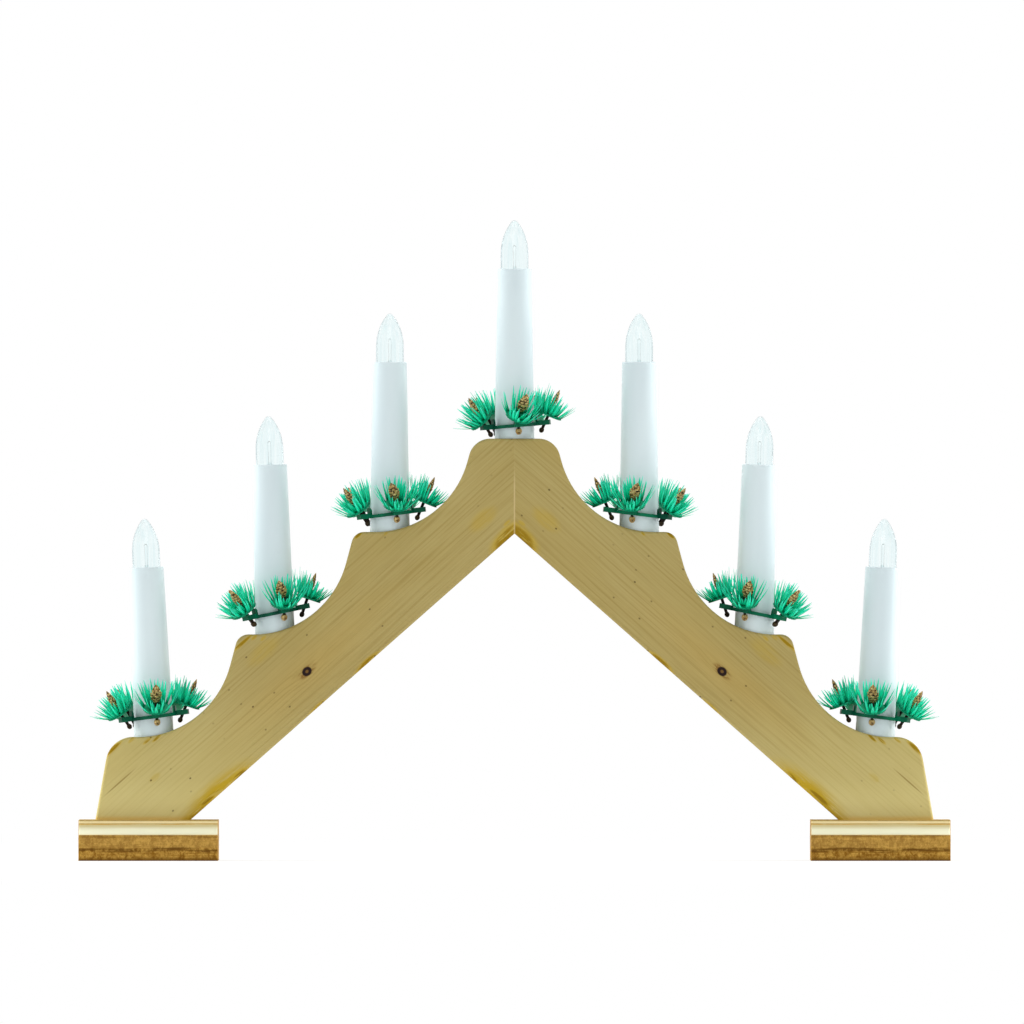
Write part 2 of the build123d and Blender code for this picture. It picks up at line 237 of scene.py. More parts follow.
def skin(rings, **marks):
    """Closed skins from an array of rings (skins, rows, columns, 3), with a number per point for each mark.

    Each row of points joins the next in quads, round the columns, and a fan of triangles to the mean
    of the first and of the last ring closes both ends.
    """
    skins, rows, columns, _ = rings.shape
    ends = rings[:, [0, -1]].mean(axis=2)
    points = np.concatenate([rings.reshape(skins, -1, 3), ends], axis=1)
    here = np.arange(columns)
    after = (here + 1) % columns
    row = (np.arange(rows - 1) * columns)[:, None]
    quads = np.stack([row + here, row + after, row + columns + after, row + columns + here], axis=-1)
    last = (rows - 1) * columns
    pole = np.full(columns, rows * columns)
    low = np.stack([after, here, pole], axis=-1)
    high = np.stack([last + here, last + after, pole + 1], axis=-1)
    shift = (np.arange(skins) * points.shape[1])[:, None, None]
    values = {}
    for name, mark in marks.items():
        grid = np.broadcast_to(mark, (skins, rows, columns))
        caps = grid[:, [0, -1]].mean(axis=2)
        values[name] = np.concatenate([grid.reshape(skins, -1), caps], axis=1).ravel()
    return {
        "points": points.reshape(-1, 3),
        "quads": (quads.reshape(1, -1, 4) + shift).reshape(-1, 4),
        "triangles": (np.concatenate([low, high])[None] + shift).reshape(-1, 3),
        "marks": values,
    }


def turned(radii, heights, columns):
    """Rings of a turned form: each height's radius, a number or one per column, carried round the axis.

    ring = (radius cos(angle), radius sin(angle), height).
    """
    angles = 2 * pi * np.arange(columns) / columns
    radii = np.broadcast_to(np.reshape(radii, (len(heights), -1)), (len(heights), columns))
    tall = np.broadcast_to(np.reshape(heights, (-1, 1)), radii.shape)
    return np.stack([radii * np.cos(angles), radii * np.sin(angles), tall], axis=-1)[None]


def swept(path, side, half_side, half_normal, columns):
    """Rings of an oval carried along paths (skins, rows, 3), wide along side and thin along the normal.

    ring = path + across half_side cos(angle) + normal half_normal sin(angle).
    """
    tangent = np.gradient(path, axis=1)
    normal = np.cross(tangent, side)
    normal /= np.linalg.norm(normal, axis=-1, keepdims=True)
    across = np.cross(normal, tangent)
    across /= np.linalg.norm(across, axis=-1, keepdims=True)
    angles = 2 * pi * np.arange(columns) / columns
    wide = np.asarray(half_side)[..., None, None] * np.cos(angles)[:, None]
    thin = np.asarray(half_normal)[..., None, None] * np.sin(angles)[:, None]
    return path[:, :, None] + across[:, :, None] * wide + normal[:, :, None] * thin


def build_piece(name, skins, material, body, nodes):
    """One mesh object from several skins, riding on a body and standing for CAD nodes."""
    counts = [len(s["points"]) for s in skins]
    starts = np.concatenate([[0], np.cumsum(counts)[:-1]])
    points = np.concatenate([s["points"] for s in skins])
    quads = np.concatenate([s["quads"] + start for s, start in zip(skins, starts)])
    triangles = np.concatenate([s["triangles"] + start for s, start in zip(skins, starts)])
    mesh = bpy.data.meshes.new(name)
    mesh.from_pydata(points.tolist(), [], quads.tolist() + triangles.tolist())
    mesh.polygons.foreach_set("use_smooth", np.ones(len(mesh.polygons), bool))
    for mark in skins[0]["marks"]:
        layer = mesh.attributes.new(mark, "FLOAT", "POINT")
        values = np.concatenate([s["marks"][mark] for s in skins])
        layer.data.foreach_set("value", values.astype(np.float32))
    mesh.materials.append(material)
    mesh.update()
    piece = bpy.data.objects.new(name, mesh)
    bpy.context.scene.collection.objects.link(piece)
    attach(piece, body)
    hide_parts(*nodes)


# Materials

class Nodes:
    """A node tree, with short calls for the nodes that the finishes share."""

    def __init__(self, tree):
        self.tree = tree

    def node(self, kind, *values, **settings):
        """Add a node; each value is linked or set on the input of the same number, None leaves it."""
        node = self.tree.nodes.new("ShaderNode" + kind)
        for key, setting in settings.items():
            setattr(node, key, setting)
        for socket, value in zip(node.inputs, values):
            self.feed(socket, value)
        return node

    def feed(self, socket, value):
        """Link a socket to an input, or set the input's value."""
        if isinstance(value, bpy.types.NodeSocket):
            self.tree.links.new(value, socket)
        elif value is not None:
            socket.default_value = (*value, 1.0) if socket.type == "RGBA" else value

    def math(self, operation, first, second=None, third=None):
        """One sum on numbers."""
        return self.node("Math", first, second, third, operation=operation).outputs[0]

    def times(self, first, second):
        """A product."""
        return self.math("MULTIPLY", first, second)

    def linear(self, value, factor, shift):
        """A value times a factor, plus a shift."""
        return self.math("MULTIPLY_ADD", value, factor, shift)

    def minus(self, first, second):
        """A difference."""
        return self.math("SUBTRACT", first, second)

    def gap(self, first, second=0.0):
        """How far two numbers are apart."""
        return self.math("ABSOLUTE", self.minus(first, second))

    def fade(self, value, start, end, low=0.0, high=1.0):
        """A smooth step of a value, from low at start to high at end."""
        node = self.node("MapRange", value, start, end, low, high, interpolation_type="SMOOTHSTEP")
        return node.outputs[0]

    def seen(self):
        """1 for what the camera, gloss and glass look at, 0 for light on the surfaces."""
        path = self.node("LightPath").outputs
        share = self.math("MAXIMUM", path["Is Camera Ray"], path["Is Glossy Ray"])
        return self.math("MAXIMUM", share, path["Is Transmission Ray"])


class Shading(Nodes):
    """The node tree of a new material."""

    def __init__(self, name):
        self.material = bpy.data.materials.new(name)
        self.material.use_nodes = True
        super().__init__(self.material.node_tree)
        self.shader = self.tree.nodes["Principled BSDF"]

    def finish(self, **values):
        """Set or link the shader's own inputs, underscores standing for spaces."""
        for name, value in values.items():
            self.feed(self.shader.inputs[name.replace("_", " ")], value)
        return self.material

    def place(self, turn=(0, 0, 0)):
        """Object coordinates in millimetres, turned."""
        coordinates = self.node("TexCoord").outputs["Object"]
        return self.node("Mapping", coordinates, None, turn, [1 / MM] * 3).outputs[0]

    def moved(self, vector, scale, shift=(0, 0, 0)):
        """A vector scaled, then shifted."""
        return self.node("Mapping", vector, shift, None, scale).outputs[0]

    def apart(self, vector):
        """The three parts of a vector."""
        return self.node("SeparateXYZ", vector).outputs

    def distance(self, vector):
        """The length of a vector."""
        return self.node("VectorMath", vector, operation="LENGTH").outputs["Value"]

    def mark(self, name):
        """A number carried by the mesh's points."""
        return self.node("Attribute", attribute_name=name).outputs["Fac"]

    def noise(self, scale, detail=2.0, roughness=0.5, vector=None, shift=(0, 0, 0)):
        """Smooth noise from 0 to 1 on a vector, or on millimetres, scaled and shifted."""
        vector = self.moved(self.place() if vector is None else vector, scale, shift)
        return self.node("TexNoise", vector, None, 1.0, detail, roughness).outputs[0]

    def cells(self, vector, scale=1.0, **settings):
        """Distance from the middles of scattered cells, and three random numbers for each cell."""
        outputs = self.node("TexVoronoi", vector, None, scale, **settings).outputs
        return outputs["Distance"], self.apart(outputs["Color"])

    def mix(self, share, first, second, blend="MIX"):
        """One colour mixed into another."""
        node = self.tree.nodes.new("ShaderNodeMix")
        node.data_type = "RGBA"
        node.blend_type = blend
        for number, value in zip((0, 6, 7), (share, first, second)):
            self.feed(node.inputs[number], value)
        return node.outputs[2]

    def layers(self, colour, *coats):
        """A colour under coats, each a share and a colour, laid on in turn."""
        for share, coat in coats:
            colour = self.mix(share, colour, coat)
        return colour

    def edge_mask(self, radius):
        """1 on sharp edges, 0 where the normal, rounded over a radius in millimetres, is the face's."""
        rounded = self.node("Bevel", radius * MM, samples=4).outputs[0]
        face = self.node("NewGeometry").outputs["Normal"]
        near = self.node("VectorMath", rounded, face, operation="DOT_PRODUCT").outputs["Value"]
        return self.fade(near, 0.98, 0.8)

    def bump(self, height, distance):
        """A normal bumped by a height, as deep as the distance in millimetres."""
        node = self.tree.nodes.new("ShaderNodeBump")
        self.feed(node.inputs["Distance"], distance * MM)
        self.feed(node.inputs["Height"], height)
        return node.outputs[0]


def arm_lines(side):
    """Slope of an arm's underside, its height at the mitre, and the arm's front and back, in millimetres."""
    points = node_points("left_arm" if side < 0 else "right_arm") / MM
    mitre = points[np.abs(points[:, 0]) < 0.01, 2].min()
    sole = points[:, 2].min()
    toe = np.abs(points[points[:, 2] < sole + 0.01, 0]).min()
    slope = atan2(mitre - sole, toe)
    return slope, mitre, points[:, 1].min(), points[:, 1].max()


def arm_wood(name, side, looks):
    """Pale softwood with its grain along the arm.

    Growth rings are circles round a pith line that lies behind the board and runs along the grain:
    ring = hypot(across, depth) + slow noise + a swelling round the knot. Their sine darkens the late
    wood. Stains are soft ovals along the grain, broken up by noise and kept near the front and back.
    """
    wood = Shading(f"arm_wood_{name}")
    slope, mitre, front, back = arm_lines(side)
    turn = -side * slope
    grain = wood.place(turn=(0, turn, 0))
    along, depth, across = wood.apart(grain)

    def oval(out, height, half_length, half_width):
        """Distance from a place on the arm, in half lengths along the grain and half widths across it."""
        u = side * out * cos(turn) + height * sin(turn)
        v = height * cos(turn) - side * out * sin(turn)
        scale = (1 / half_length, 0, 1 / half_width)
        return wood.distance(wood.moved(grain, scale, (-u / half_length, 0, -v / half_width)))

    def on_edge(out, *rest):
        """A stain on the arm's underside, with its height."""
        return out, mitre - out * tan(slope), *rest

    knot = oval(*KNOT, 1.2 * KNOT_RADIUS, KNOT_RADIUS)
    halo = oval(*KNOT, 3.6 * KNOT_RADIUS, 1.5 * KNOT_RADIUS)
    pith_across = wood.minus(across, mitre * cos(slope) - looks.pith_drop / MM)
    pith_depth = wood.minus(depth, front + looks.pith_depth / MM)
    squares = wood.linear(pith_depth, pith_depth, wood.times(pith_across, pith_across))
    reach = wood.math("ADD", wood.math("SQRT", squares), wood.fade(halo, 2.4, 0.3, 0.0, 1.5))
    reach = wood.linear(wood.noise((0.006, 0.02, 0.03), vector=grain), 5.0, reach)
    reach = wood.linear(wood.noise((0.003, 0.05, 0.2), 4.0, vector=grain, shift=(2, 0, 5)), 5.4, reach)
    ring = wood.math("SINE", wood.times(reach, 2 * pi / (looks.ring_spacing / MM)))
    strength = wood.noise((0.025, 0.05, 0.3), vector=grain, shift=(7, 0, 3))
    lines = wood.times(wood.fade(ring, 0.1, 1.0), wood.fade(strength, 0.35, 0.65, 0.06, 0.54))
    broad = wood.noise((0.012, 0.02, 0.045), 3.0, vector=grain, shift=(3, 0, 9))
    fibre = wood.noise((0.05, 0.8, 2.2), vector=grain)
    colour = wood.layers(
        looks.wood_pale,
        (wood.fade(broad, 0.3, 0.7), looks.wood_deep),
        (wood.fade(oval(*KNOT, 70.0, 16.0), 1.0, 0.0, 0.0, 0.5), looks.wood_warm),
        (lines, looks.wood_late),
        (wood.fade(fibre, 0.35, 0.75, 0.0, 0.3), looks.wood_late),
    )
    x, _, z = wood.apart(wood.place())
    from_mitre = wood.gap(x)
    # Painted light, screened onto the wood towards the feet to lift the shade that falls low on the arms
    for toe_light_share in (wood.fade(wood.linear(from_mitre, -0.3, z), 55.0, -36.5), wood.fade(z, 42.0, 18.0)):
        colour = wood.mix(toe_light_share, colour, looks.toe_painted_light, "SCREEN")

    half = (back - front) / 2
    patches = wood.noise((0.1, 0.1, 0.8), 3.0, vector=grain, shift=(0, 5, 0))
    from_core = wood.linear(patches, 6.0, wood.gap(depth, (front + back) / 2))
    near_face = wood.fade(from_core, half - 5.0, half, 0.1, 1.0)
    near_face = wood.times(near_face, wood.fade(patches, 0.34, 0.52, 0.5, 1.0))
    stain = 0.0
    for *spot, amount in (*STAINS, *(on_edge(*spot) for spot in EDGE_STAINS)):
        stain = wood.math("MAXIMUM", stain, wood.fade(oval(*spot), 1.0, 0.4, 0.0, amount))
    stain = wood.times(stain, near_face)
    cloud = wood.times(wood.fade(oval(*on_edge(*EDGE_CLOUD)), 1.0, 0.3, 0.0, 0.95), near_face)
    ragged = wood.noise((0.35, 0.3, 1.2), 3.0, vector=grain, shift=(1, 0, 4))
    ragged = wood.times(wood.fade(halo, 1.0, 0.5), wood.fade(ragged, 0.42, 0.56, 0.15, 0.9))
    flat = wood.moved(wood.node("CombineXYZ", along, across).outputs[0], (0.07, 0.09, 1))
    middle, chance = wood.cells(flat, voronoi_dimensions="2D")
    speck = wood.times(wood.fade(middle, 0.05, 0.02), wood.fade(chance[0], 0.45, 1.0, 0.0, 0.75))
    # Painted highlight along the arms' edges, where the rounded arris would catch the light; kept off the
    # mitre and the stains
    worn = wood.times(wood.fade(from_mitre, 0.8, 1.4, 0.0, 0.6), wood.minus(1.0, stain))
    seam = wood.times(wood.fade(from_mitre, 0.5, 0.1), wood.fade(z, 182.0, 170.0, 0.05, 0.5))
    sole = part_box("left_foot")[1].z / MM
    colour = wood.layers(
        colour,
        (wood.fade(z, sole + 2.6, sole, 0.0, 0.7), looks.sole_glue),
        (cloud, looks.wood_stain),
        (stain, wood.mix(wood.fade(stain, 0.5, 0.95), looks.wood_stain, looks.stain_core)),
        (wood.fade(oval(*CRACK), 1.0, 0.3, 0.0, 0.9), looks.wood_late),
        (ragged, looks.knot_heart),
        (wood.fade(knot, 1.25, 0.95), looks.knot_ring),
        (wood.fade(knot, 0.5, 0.25, 0.0, 0.7), looks.knot_heart),
        (wood.times(speck, wood.fade(from_core, half, half + 1.5)), looks.speck_dark),
        # painted highlight on the arms' edges
        (wood.times(wood.edge_mask(0.5), worn), looks.arris_painted_highlight),
        (seam, looks.glue_line),
    )
    return wood.finish(
        Base_Color=colour,
        Roughness=wood.fade(fibre, 0.3, 0.7, 0.42, 0.55),
        Normal=wood.bump(wood.linear(fibre, 0.5, lines), 0.05),
        Specular_IOR_Level=0.15,
    )


def foot_wood(looks):
    """Brown block: grain along X, two dark lines and painted shade at the bottom of the face, a cove above
    it coloured with painted light and shade, and plain ends.
    """
    wood = Shading("foot_wood")
    low, high = (np.array(corner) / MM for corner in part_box("left_foot"))
    points = node_points("left_foot") / MM
    face_top = points[points[:, 1] < low[1] + 0.01, 2].max()
    top = high[2]
    place = wood.place()
    z = wood.apart(place)[2]
    level = wood.linear(wood.noise((0.05, 0.02, 0.02), 3.0), 2.4, z)
    mottle = wood.noise((0.5, 0.3, 0.4), 5.0, 0.8)
    streak = wood.noise((0.06, 0.4, 1.1), 4.0, 0.65, shift=(4, 2, 0))
    broken = wood.fade(wood.linear(mottle, -0.4, streak), 0.1, 0.4, 0.15, 1.0)

    def line(share, width, strength):
        """A broken line across the face, at a share of its height."""
        near = wood.gap(level, share * face_top + 1.2)
        return wood.times(wood.fade(near, width, 0.2, 0.0, strength), broken)

    brown = wood.layers(
        looks.foot_deep,
        (wood.fade(mottle, 0.36, 0.64), looks.foot_face),
        (wood.fade(streak, 0.48, 0.7, 0.0, 0.8), looks.foot_deep),
        (wood.fade(z, 0.42 * face_top, 0.55 * face_top, 0.0, 0.25), looks.foot_light),
        (line(0.95, 0.9, 0.45), looks.foot_line_and_shade),
        (line(0.42, 1.3, 1.0), looks.foot_line_and_shade),
        # Painted shade along the face's bottom edge, where the foot stands on the floor
        (wood.fade(z, 2.2, 0.2, 0.0, 0.85), looks.foot_line_and_shade),
    )
    # The cove above the face is painted light and shade: pale low down where it faces up, tan higher up, a
    # painted shadow line under the arris and a painted highlight on it. The top face above stays brown.
    upper = wood.layers(
        looks.cove_lit_pale,
        (wood.fade(wood.linear(streak, 0.8, z), face_top + 2.6, face_top + 4.8), looks.cove_shaded_tan),
        (wood.fade(z, face_top + 0.9, face_top + 0.1, 0.0, 0.5), looks.cove_shaded_tan),
        (wood.times(wood.fade(wood.gap(z, top - 1.8), 0.5, 0.1), broken), looks.foot_face),
        (wood.fade(wood.gap(z, top - 0.9), 0.5, 0.2), looks.cove_arris_highlight),
        (wood.fade(z, top - 0.6, top - 0.2), wood.mix(streak, brown, looks.wood_deep)),
    )
    arcs = wood.node(
        "TexWave", wood.moved(place, (0.02, 0.25, 0.35), (0, 20, 30)), 0.35, 4.0, 3.0,
        wave_type="RINGS", rings_direction="X",
    ).outputs["Fac"]
    tone = wood.linear(mottle, 0.6, wood.fade(arcs, 0.0, 1.0, 0.1, 0.5))
    end_on = wood.gap(wood.apart(wood.node("NewGeometry").outputs["Normal"])[0])
    colour = wood.layers(
        brown,
        (wood.fade(z, face_top - 0.05, face_top + 0.25), upper),
        (wood.fade(end_on, 0.6, 0.9), wood.mix(tone, looks.foot_deep, looks.foot_face)),
    )
    return wood.finish(
        Base_Color=colour,
        Roughness=wood.fade(mottle, 0.3, 0.7, 0.45, 0.65),
        Normal=wood.bump(wood.math("ADD", mottle, streak), 0.08),
        Specular_IOR_Level=0.12,
    )


def dowel_wood(looks):
    """Plain beech: short dark flecks along X on a pale ground."""
    wood = Shading("dowel_wood")
    flecks = wood.noise((0.3, 2.5, 2.5))
    colour = wood.mix(wood.fade(flecks, 0.45, 0.7), looks.wood_pale, looks.foot_face)
    return wood.finish(Base_Color=colour, Roughness=wood.fade(flecks, 0.3, 0.7, 0.5, 0.7))


def metal(name, bright, dull):
    """Sheet or wire metal: tarnish in patches and fine rubbed marks."""
    sheet = Shading(name)
    tarnish = sheet.noise((0.35, 0.35, 0.35), 4.0, 0.6)
    marks = sheet.noise((2.0, 2.0, 9.0))
    return sheet.finish(
        Base_Color=sheet.mix(sheet.fade(tarnish, 0.4, 0.7), bright, dull),
        Roughness=sheet.linear(marks, 0.2, sheet.fade(tarnish, 0.35, 0.7, 0.14, 0.3)),
        Metallic=1.0,
        Normal=sheet.bump(marks, 0.01),
    )


def moulded(name, ground, shade, gloss, shine=0.3):
    """Moulded plastic: a faint cloud in the colour, and one fine grain in the gloss and the skin."""
    plastic = Shading(name)
    cloud = plastic.noise((0.08, 0.08, 0.03), 3.0)
    skin_grain = plastic.noise((3.0, 3.0, 3.0))
    return plastic.finish(
        Base_Color=plastic.mix(plastic.fade(cloud, 0.35, 0.7), ground, shade),
        Roughness=plastic.linear(skin_grain, 0.12, gloss),
        Normal=plastic.bump(skin_grain, 0.006),
        Specular_IOR_Level=shine,
    )


def candle_plastic(looks):
    """White plastic of the tubes: a cold cloud, drawn lines along the tube and a few dust specks."""
    plastic = Shading("candle_plastic")
    cloud = plastic.noise((0.05, 0.05, 0.012), 3.0)
    drawn = plastic.noise((1.6, 1.6, 0.02))
    middle, chance = plastic.cells(plastic.place(), 0.05)
    chosen = plastic.math("GREATER_THAN", chance[1], 0.72)
    speck = plastic.times(plastic.fade(middle, 0.02, 0.008, 0.0, 0.7), chosen)
    colour = plastic.layers(
        looks.candle_white,
        (plastic.fade(cloud, 0.3, 0.7), looks.candle_shade),
        (speck, looks.speck_dark),
    )
    return plastic.finish(
        Base_Color=colour,
        Roughness=plastic.fade(drawn, 0.3, 0.7, 0.3, 0.42),
        Normal=plastic.bump(drawn, 0.01),
        Specular_IOR_Level=0.8,
    )


def lamp_glass(looks):
    """Thin clear glass, faintly cold and darker edge on. It hardly bends light; a coat carries its gloss."""
    glass = Shading("lamp_glass")
    streaks = glass.noise((0.9, 0.9, 0.03))
    colour = glass.layers(
        looks.glass_tint,
        (glass.fade(streaks, 0.3, 0.7), looks.glass_clear),
        (glass.fade(glass.node("LayerWeight").outputs["Facing"], 0.5, 0.9), looks.glass_rim),
    )
    return glass.finish(
        Base_Color=colour,
        Roughness=glass.fade(streaks, 0.3, 0.7, 0.0, 0.04),
        Transmission_Weight=1.0,
        IOR=1.04,
        Coat_Weight=0.6,
        Coat_Roughness=0.02,
    )


def cap_brass(looks):
    """Lamp cap: brass above, a dark insulator and a grey solder point, told apart by the zone mark."""
    brass = Shading("cap_brass")
    zone = brass.mark("zone")
    tarnish = brass.noise((0.5, 0.5, 0.5), 4.0)
    solder = brass.fade(zone, 1.4, 1.6)
    insulator = brass.fade(zone, 0.4, 0.6)
    colour = brass.layers(
        looks.brass,
        (brass.fade(tarnish, 0.4, 0.7), looks.brass_dull),
        (insulator, looks.insulator),
        (solder, looks.solder),
    )
    return brass.finish(
        Base_Color=colour,
        Metallic=brass.minus(1.0, brass.minus(insulator, solder)),
        Roughness=brass.fade(tarnish, 0.35, 0.7, 0.2, 0.38),
    )


def needle_plastic(looks):
    """Emerald blades: dark at the root, light at the tip, each blade a little different in tone."""
    plastic = Shading("needle_plastic")
    veins = plastic.noise((2.5, 2.5, 1.0))
    along = plastic.linear(plastic.minus(veins, 0.5), 0.25, plastic.mark("along"))
    colour = plastic.layers(
        looks.needle_root,
        (plastic.fade(along, 0.02, 0.42), looks.needle_blade),
        (plastic.fade(along, 0.4, 0.95), looks.needle_tip),
        (plastic.times(plastic.mark("tone"), 0.45), looks.needle_root),
    )
    return plastic.finish(
        Base_Color=colour,
        Roughness=plastic.fade(veins, 0.3, 0.7, 0.4, 0.55),
        Normal=plastic.bump(veins, 0.03),
        Specular_IOR_Level=0.12,
    )


def cone_gold(looks):
    """Gold dust over dark brown: worn off in the grooves, with glittering grains; stems stay dark."""
    dust = Shading("cone_gold")
    spark = dust.cells(dust.place(), 3.4)[1][0]
    wear = dust.linear(dust.mark("ridge"), 0.5, dust.noise((0.9, 0.9, 0.9), 3.0))
    cover = dust.times(dust.mark("gilt"), dust.fade(wear, 0.42, 0.8))
    gold = dust.mix(dust.fade(spark, 0.35, 0.95), looks.cone_gold, looks.cone_spark)
    return dust.finish(
        Base_Color=dust.mix(cover, looks.cone_dark, gold),
        Metallic=dust.times(cover, 0.45),
        Roughness=dust.fade(spark, 0.0, 1.0, 0.6, 0.28),
        Normal=dust.bump(spark, 0.12),
        Specular_IOR_Level=0.1,
    )


def dress(nodes, material):
    """Give CAD nodes a finish through their material slots."""
    for node in nodes:
        for slot in frame["nodes"][node].material_slots:
            slot.material = material


# Lamps

def envelope(radius, top, inset, sizes, rows):
    """Radii and heights of a lamp envelope from its top down to the shoulder, set inwards by a wall.

    A round tip, then an ogive arc tangent to it and to the straight side below the shoulder, of radius
    arc = (rise^2 + radius^2 - tip^2) / (2 (radius - tip)).
    """
    radius = radius - inset
    tip = sizes.tip_radius - inset
    shoulder = top - sizes.ogive_height
    rise = top - inset - tip - shoulder
    arc = (rise**2 + radius**2 - tip**2) / (2 * (radius - tip))
    meet = atan2(rise, arc - radius)
    turns = np.linspace(pi / 2, meet, rows + 1)[1:]
    sides = np.linspace(meet, 0, rows)[1:]
    radii = np.concatenate([tip * np.cos(turns), radius - arc + arc * np.cos(sides)])
    heights = np.concatenate([shoulder + rise + tip * np.sin(turns), shoulder + arc * np.sin(sides)])
    return radii, heights, shoulder


def lamp_envelope(radius, neck, bottom, top, sizes):
    """Hollow envelope as one closed skin: down the outside, round the neck and up the inside.

    Inside, the wall is fluted: inset = wall (1 + depth cos(flutes angle)), fading out towards both ends.
    """
    rows, columns = 8, 6 * sizes.flute_count
    angles = 2 * pi * np.arange(columns) / columns
    wall = sizes.glass_wall
    outer, outer_heights, shoulder = envelope(radius, top, 0, sizes, rows)
    inner, inner_heights, _ = envelope(radius, top, wall, sizes, rows)
    side_heights = np.linspace(shoulder, bottom + sizes.neck_height, rows + 1)[1:]
    radii = np.concatenate([outer, np.full(rows, radius), [neck]])
    heights = np.concatenate([outer_heights, side_heights, [bottom]])
    inner_radii = np.concatenate([[neck - wall], np.full(rows, radius - wall), inner[::-1]])
    inner_heights = np.concatenate([[bottom], side_heights[::-1], inner_heights[::-1]])
    share = np.clip((inner_heights - bottom) / (shoulder - bottom), 0, 1) * (inner_radii / radius)
    flutes = sizes.flute_depth * wall * share[:, None] * np.cos(sizes.flute_count * angles)
    around = np.concatenate([np.repeat(radii[:, None], columns, 1), inner_radii[:, None] - flutes])
    return turned(around, np.concatenate([heights, inner_heights]), columns)[:, :, ::-1]


def lamp_cap(radius, bottom, top, sizes):
    """Screw cap: a solder point, a dark cone and a threaded shell, with a zone number for each row.

    The thread is radius - depth (1 + cos(turns)) / 2, where the turns are height / pitch less the angle
    round the axis, and it fades out at both ends.
    """
    rows, columns = 41, 48
    angles = 2 * pi * np.arange(columns) / columns
    tip_heights = bottom + sizes.solder_height * np.array([0, 0.25, 0.7, 1.0])
    tip = sizes.solder_radius * np.array([0.45, 0.85, 1.0, 1.0])
    shell_bottom = bottom + sizes.solder_height + sizes.insulator_height
    shell_heights = np.linspace(shell_bottom, top, rows)
    share = (shell_heights - shell_bottom) / (top - shell_bottom)
    fade = np.clip(np.minimum(share, 1 - share) * 6, 0, 1)[:, None]
    turns = 2 * pi * shell_heights[:, None] / sizes.thread_pitch - angles
    shell = radius - sizes.thread_depth * fade * (1 + np.cos(turns)) / 2
    radii = np.concatenate([np.repeat(tip[:, None], columns, 1), shell])
    zones = np.repeat([2, 1, 0], [3, 2, rows - 1])
    return turned(radii, np.concatenate([tip_heights, shell_heights]), columns), zones[None, :, None]


def wire(path, radius):
    """Round wire along a path of points (rows, 3)."""
    radii = np.full((1, len(path)), radius)
    return swept(path[None], np.array((0.0, 1.0, 0.0)), radii, radii, 6)


def lamp_wires(bottom, top, sizes):
    """Two lead wires, bent towards each other at the stem, and a coiled filament bridging their tops.

    The coil is a helix round a shallow bow: (x, bow(x)) + coil radius (cos turns, sin turns).
    """
    points = 12
    half = sizes.lead_spacing / 2
    share = np.linspace(0, 1, points)
    lean = half * (0.75 + 0.25 * share)
    heights = bottom + (top - bottom) * share
    leads = [np.stack([side * lean, np.zeros(points), heights], axis=-1) for side in SIDES.values()]
    share = np.linspace(0, 1, points * sizes.coil_turns + 1)
    turns = 2 * pi * sizes.coil_turns * share
    bow = sizes.coil_radius * 4 * np.sin(pi * share)
    coil = np.stack([
        half * (2 * share - 1),
        sizes.coil_radius * np.cos(turns),
        top + bow + sizes.coil_radius * np.sin(turns),
    ], axis=-1)
    return [wire(lead, sizes.lead_radius) for lead in leads] + [wire(coil, 0.35 * sizes.coil_radius)]


def lamp_stem(radius, bottom, top):
    """Pressed glass stem: a flared foot, a waist and a flattened head, turned and squeezed across.

    Up the stem's share s it is radius (0.62 + 0.75 exp(-(s / 0.16)^2) - 0.2 exp(-((s - 1) / 0.08)^2)).
    """
    share = np.linspace(0, 1, 15)
    foot = 0.75 * np.exp(-(share / 0.16) ** 2)
    head = 0.2 * np.exp(-((share - 1) / 0.08) ** 2)
    rings = turned(radius * (0.62 + foot - head), bottom + (top - bottom) * share, 20)
    rings[..., 1] *= 1 - 0.45 * np.clip((share - 0.45) / 0.3, 0, 1)[:, None]
    return rings


# Wreaths

